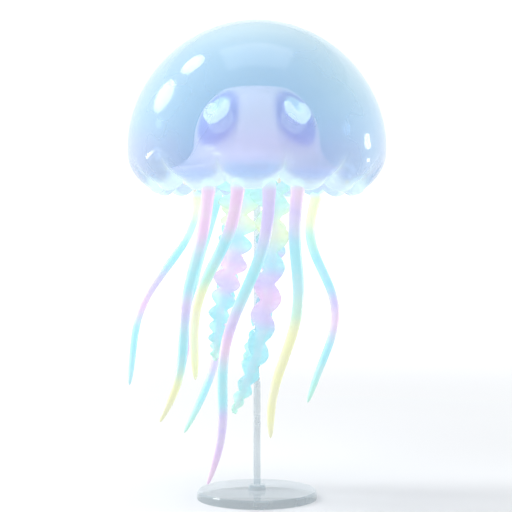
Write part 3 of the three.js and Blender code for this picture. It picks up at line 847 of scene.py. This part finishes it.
# %% Horseshoes under the roof
GONAD_BEND_RADIUS = 10.5
GONAD_HALF_WIDTH = 5.6
GONAD_SWEEP = math.radians(132)
GONAD_STEPS = 72
GONAD_SIDES = 16
GONAD_SUNK = 1.2  # how far the middle of the ridge lies below the lining
GONAD_FOLDS = 17
FOLD_SHIFT = 0.9
FOLD_SWELL = 0.13  # share of the half width
GONAD_BLUNTNESS = 8  # the higher, the later the ridge closes at its ends
GONAD_TAPER = 0.3
LEAST_RADIUS = 0.3
ROOF_SPAN = math.hypot(*on_roof(GONAD_LATITUDE, 0, 0).xy)
GONAD_PALE = paint(236, 246, 250)
GONAD_WHITE = paint(250, 254, 255)

gonad_finish = Finish("gonad")
folds = gonad_finish.noise(420, 2)
pale = gonad_finish.mix(gonad_finish.remap(folds, 0.35, 0.65), GONAD_PALE, GONAD_WHITE)
gonad_finish.link(pale, "Base Color")
gonad_finish.link(gonad_finish.remap(folds, 0.3, 0.7, 0.9, 0.97), "Alpha")
# The gonads glow with painted light in their own pale colours.
gonad_finish.link(pale, "Emission Color")
gonad_finish.bump(folds, 0.15, 0.5)
gonad_finish.set(Roughness=0.4, Emission_Strength=0.6, IOR=WET_IOR, Coat_Weight=0.3)


def gonad(number, azimuth):
    places, radii = [], []
    for step in range(GONAD_STEPS + 1):
        run = step / GONAD_STEPS * 2 - 1
        turn = run * GONAD_SWEEP
        fold = math.sin(step / GONAD_STEPS * GONAD_FOLDS * math.tau)
        distance = GONAD_BEND_RADIUS + FOLD_SHIFT * fold
        latitude = GONAD_LATITUDE + distance * math.cos(turn) / DOME_RISE
        longitude = azimuth + distance * math.sin(turn) / ROOF_SPAN
        places.append(on_roof(latitude, longitude, LINING_THICKNESS + GONAD_SUNK) + RISE_TO_WIDEST)
        swelling = (1 - abs(run) ** GONAD_BLUNTNESS) ** 0.5 * (1 - GONAD_TAPER * run ** 4)
        radii.append(max(GONAD_HALF_WIDTH * swelling * (1 + FOLD_SWELL * fold), LEAST_RADIUS))
    item = tube(f"gonad_ridge_{number}", places, radii, GONAD_SIDES)
    item.data.materials.append(gonad_finish.material)
    smooth(item)
    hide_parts(f"gonad_{number}")
    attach(item, "root")
    return item


gonads = [gonad(number + 1, azimuth) for number, azimuth in enumerate(GONAD_AZIMUTHS)]
print("faces in one gonad:", len(gonads[0].data.polygons))

# %% [markdown]
# ## What hangs, and how it sways
# The arms and the tentacles hang in the drift of the water. Each has a drop, a drift to
# the left, a bow in depth and a sway, which is the sum of one, two and three half waves
# on the way down. The same rule carries both, so it is written once here.

# %% Courses
TENTACLE_CIRCLE = 95
TENTACLE_TOP = -48
ARM_CIRCLE = 22
GAP = 0.3  # between neighbouring solids of the model
ARM_TOP = THROAT_FOOT - GAP
STRAIGHT_ROOT = 0.06  # share of the drop over which a hanging part leaves plumb
COURSE_STEP = 0.002  # share of the drop to each side over which its direction is measured


class Course:
    """The way that a hanging part takes, in millimetres."""

    def __init__(self, azimuth, drop, drift, inward, bow, sway, circle, top):
        self.azimuth = math.radians(azimuth)
        self.drop, self.drift, self.inward, self.bow, self.sway = drop, drift, inward, bow, sway
        self.circle, self.top = circle, top

    def middle(self, share):
        swing = sum(size * math.sin((i + 1) * math.pi * share) for i, size in enumerate(self.sway))
        depth = -self.circle * math.cos(self.azimuth) * lerp(1, self.inward, share)
        return Vector((
            self.circle * math.sin(self.azimuth) + self.drift * share + swing,
            depth + self.bow * math.sin(math.pi * share),
            WIDEST + self.top - self.drop * share,
        ))

    def frame(self, share):
        """Its middle and the directions across it and to its front at a share of the drop."""
        below, above = self.middle(share + COURSE_STEP), self.middle(share - COURSE_STEP)
        course = (below - above).normalized()
        settled = smoothstep(share, 0, STRAIGHT_ROOT)
        direction = Vector((0, 0, -1)).lerp(course, settled).normalized()
        across = -Vector((0, 1, 0)).cross(direction).normalized()
        return self.middle(share), across, direction.cross(across).normalized()


# %% [markdown]
# ## Oral arms
# Four arms hang from the corners of the mouth. Each is a ribbon with a thick middle rib
# and two thin edges that are longer than the rib, so they have to ruffle, as the edge of a
# lettuce leaf does. A grid is laid along the course, its columns are moved in and out of
# the ribbon by waves that grow towards the edges, and a Solidify that reads a vertex group
# makes the rib thick and the edges thin.

# %% Arm sizes
# name: azimuth, half width, taper, drop, drift, bow, facing, sway, the half waves of each edge
# where they aren't tightened, and where the waves of the two edges begin
ARMS = {
    "left": (-78.75, 14, 0.62, 191, -19, -10, 8, (7, 4), 10.2, (0.5, 0.3)),
    "front": (11.25, 11.5, 0.45, 239, -27, 2, -6, (21.5, 0, 2), 8.1, (0.5, 0.08)),
    "right": (101.25, 12, 0.6, 196, -35, 13, -12, (9, -4), 9, (0.1, 0.6)),
    "back": (191.25, 12, 0.6, 160, -36, 3, 14, (-2, -3), 8, (0.3, 0.8)),
}
ARM_COLUMNS = 28
ARM_STEP = 1.1
ARM_ROOT_SHARE = 0.62  # its width at the root, as a share of its full width
ARM_ROOT_LENGTH = 0.1  # share of the drop
ARM_TIP_BLUNTNESS = 10
ARM_TIP_HALF_WIDTH = 0.8
TIP_ROUNDING = 0.6
FRILL_START = 0.08  # share of the drop
FRILL_TIGHTENING = 0.29  # share of half waves that is added by tightening them at the tip
FRILL_TIGHTENING_POWER = 9  # the higher, the nearer to the tip they tighten
FRILL_EDGE = 0.55  # share of the half width
FRILL_LIFT = 5
FRILL_CALMING = 0.4  # share of its strength that a frill loses by the tip
RUFFLE_LENGTH = 6.5  # of one fine ruffle along the edge
RUFFLE_LIFT = 0.9
RUFFLE_WANDER = 1.2  # how far the ruffles come early or late, in radians
RUFFLE_WANDER_RATE = 0.37
RIB_THICKNESS = 6.4
RIB_TIP_THICKNESS = 1.8
EDGE_THICKNESS = 0.7


def arm_half_width(width, taper, share):
    root = lerp(ARM_ROOT_SHARE, 1, smoothstep(share, 0, ARM_ROOT_LENGTH))
    tip = (1 - min(share, 1) ** ARM_TIP_BLUNTNESS) ** TIP_ROUNDING
    return width * root * (1 - taper * share) * tip + ARM_TIP_HALF_WIDTH


def arm_place(course, half_width, facing, frills, shift, share, u):
    """A point of the ribbon at a share of its drop and at u across it, from -1 to 1."""
    middle, across, front = course.frame(share)
    turn = math.radians(facing)
    wide = across * math.cos(turn) + front * math.sin(turn)
    face = front * math.cos(turn) - across * math.sin(turn)
    waves = frills * (share + FRILL_TIGHTENING * share ** FRILL_TIGHTENING_POWER)
    run = math.pi * (waves + shift[0 if u < 0 else 1])
    wander = RUFFLE_WANDER * math.sin(run * RUFFLE_WANDER_RATE)
    ruffle = share * course.drop * math.tau / RUFFLE_LENGTH + wander
    settled = smoothstep(share, 0, FRILL_START) * (1 - FRILL_CALMING * share)
    edge = abs(u)
    reach = 1 + settled * FRILL_EDGE * edge * (2 * abs(math.sin(run)) - 1)
    lift = FRILL_LIFT * settled * u * u * math.sin(run)
    lift += RUFFLE_LIFT * settled * edge ** 4 * math.sin(ruffle)
    return middle + wide * u * half_width * reach + face * lift


# %% Arm finish
MINT = paint(202, 244, 230)
PALE_YELLOW = paint(238, 249, 216)
CYAN = paint(182, 238, 246)
PINK = paint(242, 216, 243)
LAVENDER = paint(222, 214, 249)
YELLOW = paint(247, 249, 208)


def along(stops, share):
    """The colour at a share of the way down, from stops of (share, colour)."""
    before = stops[0]
    for stop in stops:
        if stop[0] >= share:
            span = stop[0] - before[0]
            part = smoothstep(share, before[0], stop[0]) if span else 0
            return tuple(lerp(a, b, part) for a, b in zip(before[1], stop[1]))
        before = stop
    return stops[-1][1]


ARM_STOPS = (
    (0, CYAN), (0.16, MINT), (0.28, PALE_YELLOW), (0.4, CYAN), (0.47, LAVENDER),
    (0.54, PINK), (0.62, LAVENDER), (0.7, CYAN), (0.86, CYAN), (1, MINT),
)
WHITE = (1, 1, 1)

arm_finish = Finish("oral_arm")
speckle = arm_finish.remap(arm_finish.noise(90, 3), 0.4, 0.7, 0, 0.22)
arm_color = arm_finish.mix(speckle, arm_finish.attribute("tint", "Color"), WHITE)
rib_tint = arm_finish.remap(arm_finish.attribute("rib"), 0.2, 1, 0, 0.18)
rib_color = arm_finish.mix(rib_tint, arm_color, LAVENDER)
arm_finish.link(rib_color, "Base Color")
arm_finish.link(arm_finish.remap(arm_finish.attribute("rib"), 0, 0.8, 0.78, 0.94), "Alpha")
# The arms glow a little with painted light in their own colours, at the strength set below.
arm_finish.link(rib_color, "Emission Color")
arm_finish.bump(arm_finish.noise(260, 3, (1, 1, 0.4)), 0.28, 0.7)
arm_finish.set(Roughness=0.35, IOR=WET_IOR, Coat_Weight=0.4, Coat_Roughness=0.15)
arm_finish.set(Emission_Strength=0.33)

# %% Model the arms
def oral_arm(name, azimuth, width, taper, drop, drift, bow, facing, sway, frills, shift):
    course = Course(azimuth, drop, drift, 1, bow, sway, ARM_CIRCLE, ARM_TOP)
    rows = round(drop / ARM_STEP)
    deselect_all()
    bpy.ops.mesh.primitive_grid_add(x_subdivisions=ARM_COLUMNS, y_subdivisions=rows, size=1)
    item = added(f"oral_arm_{name}")
    tints, ribs = [], []
    group = item.vertex_groups.new(name="thick")
    for vertex in item.data.vertices:
        u, share = vertex.co.x * 2, 0.5 - vertex.co.y
        half_width = arm_half_width(width, taper, share)
        vertex.co = arm_place(course, half_width, facing, frills, shift, share, u) * MM
        tints.append(along(ARM_STOPS, share))
        ribs.append((1 - u * u) ** 2)
        thickness = lerp(EDGE_THICKNESS, lerp(RIB_THICKNESS, RIB_TIP_THICKNESS, share), ribs[-1])
        group.add([vertex.index], thickness / RIB_THICKNESS, "REPLACE")
    store_colors(item, "tint", tints)
    store(item, "rib", ribs)
    wall = item.modifiers.new("wall", "SOLIDIFY")
    wall.thickness = RIB_THICKNESS * MM
    wall.offset = 0
    wall.vertex_group = "thick"
    wall.use_even_offset = False
    apply_all(item)
    face_outwards()
    item.data.materials.append(arm_finish.material)
    smooth(item)
    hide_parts(f"oral_arm_{name}_upper", f"oral_arm_{name}_lower")
    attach(item, "root")
    return item


arms = [oral_arm(name, *sizes) for name, sizes in ARMS.items()]
print("faces in the front arm:", len(arms[1].data.polygons))

# %% [markdown]
# ## Tentacles
# Ten long tentacles trail from the margin. Each is one unbroken strand from its root in
# the jelly to its tip, so it takes the place of all three lengths of the solid model. The
# colour fades on its way down through mint, cyan, lavender, pink and yellow, each
# strand in its own order. Fine rings round it are the batteries of stinging cells.

# %% Tentacle sizes
# azimuth, radius, drop, drift, the share of the root's depth left at the tip, bow, sway, and
# then the shares of the drop with the colours there
TENTACLES = (
    (-27.5, 5.6, 210, -45, 0.75, -10, (5, -3, 3),
     ((0.16, PINK), (0.32, CYAN), (0.4, CYAN), (0.5, LAVENDER), (0.64, CYAN), (0.72, CYAN),
      (0.86, YELLOW))),
    (-10.5, 5.7, 173, -40, 0.5, -4, (-10, 5, 2),
     ((0.16, PINK), (0.28, CYAN), (0.34, CYAN), (0.44, MINT), (0.54, YELLOW))),
    (6.5, 5.6, 272, -57, 0.4, -9, (-4, 1, 6),
     ((0.12, LAVENDER), (0.25, CYAN), (0.35, CYAN), (0.43, LAVENDER), (0.52, PINK),
      (0.62, CYAN), (0.7, CYAN), (0.77, LAVENDER), (1, PINK))),
    (22.5, 5.7, 223, -24, 0.85, -8, (7, 2, -4),
     ((0, PINK), (0.1, LAVENDER), (0.24, CYAN), (0.38, CYAN), (0.47, MINT), (0.57, YELLOW))),
    (140.5, 5.2, 203, -10, 0.4, 4, (17, -9, -5),
     ((0.1, YELLOW), (0.2, MINT), (0.33, CYAN), (0.42, CYAN), (0.52, LAVENDER), (0.6, PINK),
      (0.76, CYAN), (1, MINT))),
    (155, 4.8, 150, -6, 0.8, 6, (6, -3, -1),
     ((0, MINT), (0.3, CYAN), (0.5, LAVENDER), (0.8, CYAN), (1, MINT))),
    (172, 4.8, 179, -24, 0.45, 6, (13, 0, 0),
     ((0.1, CYAN), (0.35, LAVENDER), (0.5, PINK), (0.7, CYAN), (1, MINT))),
    (191, 5.4, 236, -55, 0.55, 9, (13, -3, 1),
     ((0.1, MINT), (0.3, CYAN), (0.5, PINK), (0.72, LAVENDER), (0.82, CYAN), (1, MINT))),
    (206, 4.8, 172, -34, 0.85, 6, (-5, -1, 1),
     ((0.1, CYAN), (0.3, MINT), (0.5, CYAN), (0.75, LAVENDER), (1, PINK))),
    (220, 4.6, 185, -65, 0.35, -6, (-10, 7, 3),
     ((0.06, YELLOW), (0.16, MINT), (0.27, CYAN), (0.34, CYAN), (0.45, LAVENDER),
      (0.58, PINK), (0.72, CYAN))),
)
TENTACLE_SIDES = 20
TENTACLE_STEP = 2.4
TENTACLE_TAPER = 0.3
TENTACLE_TIP = 0.7
TIP_BLUNTNESS = 14  # the higher, the later the strand narrows to its tip
TIP_END = 0.4  # how far a last small ring lies below the tip, to round it
TIP_END_RADIUS = 0.2
ROOT_FLARE = 0.12  # share of the radius
ROOT_FLARE_LENGTH = 6
ROOT_TINT_DEPTH = 8  # how deep in the margin the root has all of the margin's colour
# how far above its top the root still reaches into the jelly, and how wide it is there
ROOT_RISES = ((12, 0.35), (11, 0.75), (9, 1.02), (6, 1.15), (3, 1.16))


def tentacle_radius(radius, drop, share):
    flare = 1 + ROOT_FLARE * math.exp(-share * drop / ROOT_FLARE_LENGTH)
    strand_radius = radius * flare * (1 - TENTACLE_TAPER * share)
    closing = (1 - share ** TIP_BLUNTNESS) ** TIP_ROUNDING
    return TENTACLE_TIP + (strand_radius - TENTACLE_TIP) * closing


# %% Tentacle finish
tentacle_finish = Finish("tentacle")
mottle = tentacle_finish.noise(45, 2)
paler = tentacle_finish.remap(mottle, 0.35, 0.7, 0, 0.2)
strand_color = tentacle_finish.mix(paler, tentacle_finish.attribute("tint", "Color"), WHITE)
tentacle_finish.link(strand_color, "Base Color")
# The tentacles glow a little with painted light in their own colours, at the strength set below.
tentacle_finish.link(strand_color, "Emission Color")
tentacle_finish.link(tentacle_finish.remap(mottle, 0.3, 0.7, 0.9, 0.97), "Alpha")
rings = tentacle_finish.noise(340, 1, (0.3, 0.3, 2.2))
tentacle_finish.bump(rings, 0.3, 0.7)
tentacle_finish.set(Roughness=0.35, IOR=WET_IOR, Coat_Weight=0.35, Coat_Roughness=0.15)
tentacle_finish.set(Emission_Strength=0.34)

# %% Model the tentacles
def tentacle(number, azimuth, radius, drop, drift, inward, bow, sway, colors):
    course = Course(azimuth, drop, drift, inward, bow, sway, TENTACLE_CIRCLE, TENTACLE_TOP)
    steps = round(drop / TENTACLE_STEP)
    top = course.middle(0)
    places = [top + Vector((0, 0, rise)) for rise, width in ROOT_RISES]
    radii = [radius * width for rise, width in ROOT_RISES]
    for step in range(steps + 1):
        share = step / steps
        places.append(course.middle(share))
        radii.append(tentacle_radius(radius, drop, share))
    places.append(course.middle(1) + Vector((0, 0, -TIP_END)))
    radii.append(TIP_END_RADIUS)
    item = tube(f"tentacle_{number}", places, radii, TENTACLE_SIDES)
    shares = [(top.z - vertex.co.z / MM) / drop for vertex in item.data.vertices]
    tints = [along(colors, share) for share in shares]
    for index, share in enumerate(shares):
        sunk = smoothstep(-share * drop, 0, ROOT_TINT_DEPTH)
        tints[index] = tuple(lerp(a, b, sunk) for a, b in zip(tints[index], LAPPET_CYAN))
    store_colors(item, "tint", tints)
    item.data.materials.append(tentacle_finish.material)
    smooth(item)
    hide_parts(*[f"tentacle_{number}_{length}" for length in ("upper", "middle", "tip")])
    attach(item, "root")
    return item


tentacles = [tentacle(number + 1, *sizes) for number, sizes in enumerate(TENTACLES)]
print("faces in the longest tentacle:", len(tentacles[2].data.polygons))

# %% [markdown]
# ## Sense organs
# In every second notch hangs a small club that tells the animal up from down and light
# from dark. It is modelled once as a stretched sphere and copied round the margin.

# %% Sense organ finish
SAND = paint(232, 226, 212)
PALE_SAND = paint(250, 247, 236)

organ_finish = Finish("sense_organ")
grain = organ_finish.noise(900, 2)
organ_color = organ_finish.mix(grain, SAND, PALE_SAND)
organ_finish.link(organ_color, "Base Color")
# The sense organs glow a little with painted light in their own colours.
organ_finish.link(organ_color, "Emission Color")
organ_finish.link(organ_finish.remap(grain, 0.3, 0.7, 0.85, 0.95), "Alpha")
organ_finish.bump(grain, 0.2, 0.2)
organ_finish.set(Roughness=0.3, IOR=WET_IOR, Coat_Weight=0.4, Emission_Strength=0.3)

# %% Model the sense organs
ORGAN_RADIUS = 2.2
ORGAN_STRETCH = 1.6
ORGAN_NECK = 0.55  # share of the radius left at its top
ORGAN_NECK_STARTS = -0.5
ORGAN_SUNK = 0.9
ORGAN_CIRCLE = (LIP_RADIUS + WALL_RADIUS) / 2
ORGAN_HEIGHT = WIDEST - MARGIN_DEPTH + DEEP_NOTCH_RISE - ORGAN_SUNK

deselect_all()
bpy.ops.mesh.primitive_uv_sphere_add(segments=20, ring_count=14, radius=ORGAN_RADIUS * MM)
clubs = [added("sense_organ")]
for vertex in clubs[0].data.vertices:
    neck = smoothstep(vertex.co.z / MM, ORGAN_NECK_STARTS, ORGAN_RADIUS)
    pinch = lerp(1, ORGAN_NECK, neck)
    vertex.co = Vector((vertex.co.x * pinch, vertex.co.y * pinch, vertex.co.z * ORGAN_STRETCH))
for index in range(1, SENSE_ORGANS):
    club = bpy.data.objects.new(f"sense_organ_{index}", clubs[0].data.copy())
    scene.collection.objects.link(club)
    clubs.append(club)
for index, club in enumerate(clubs):
    azimuth = azimuth_at(BODY_TURN + index / SENSE_ORGANS * math.tau)
    place = around(azimuth, ORGAN_CIRCLE, ORGAN_HEIGHT) * MM
    for vertex in club.data.vertices:
        vertex.co += place
deselect_all()
for club in clubs:
    club.select_set(True)
bpy.context.view_layer.objects.active = clubs[0]
bpy.ops.object.join()
organs = added("sense_organs")
organs.data.materials.append(organ_finish.material)
smooth(organs)
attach(organs, "root")
print("faces in the sense organs:", len(organs.data.polygons))

# %% [markdown]
# ## Stand
# The stand keeps the shape of the solid model, a turned base with a boss and one rod.
# Clear acrylic mirrors the lamps and hardly shows otherwise, so it is a Principled shader
# with a low alpha under a full coat, and faint marks from handling blur the shine.

# %% Acrylic
ACRYLIC_BLUE = paint(186, 214, 226)
ACRYLIC_PALE = paint(212, 232, 240)
STAND_NODES = ("stand_base", "stand_rod")

acrylic = Finish("clear_acrylic")
handling = acrylic.noise(30, 4)
acrylic.link(acrylic.remap(handling, 0.45, 0.8, 0.02, 0.14), "Roughness")
acrylic.link(acrylic.mix(handling, ACRYLIC_BLUE, ACRYLIC_PALE), "Base Color")
acrylic.link(acrylic.remap(handling, 0.35, 0.75, 0.3, 0.38), "Alpha")
acrylic.bump(acrylic.noise(12, 2), 0.02, 1)
acrylic.set(IOR=1.49, Coat_Weight=1, Coat_Roughness=0.02)
for name in STAND_NODES:
    part = frame["nodes"][name]
    part.data.materials.clear()
    part.data.materials.append(acrylic.material)
print("acrylic on", len(STAND_NODES), "nodes")
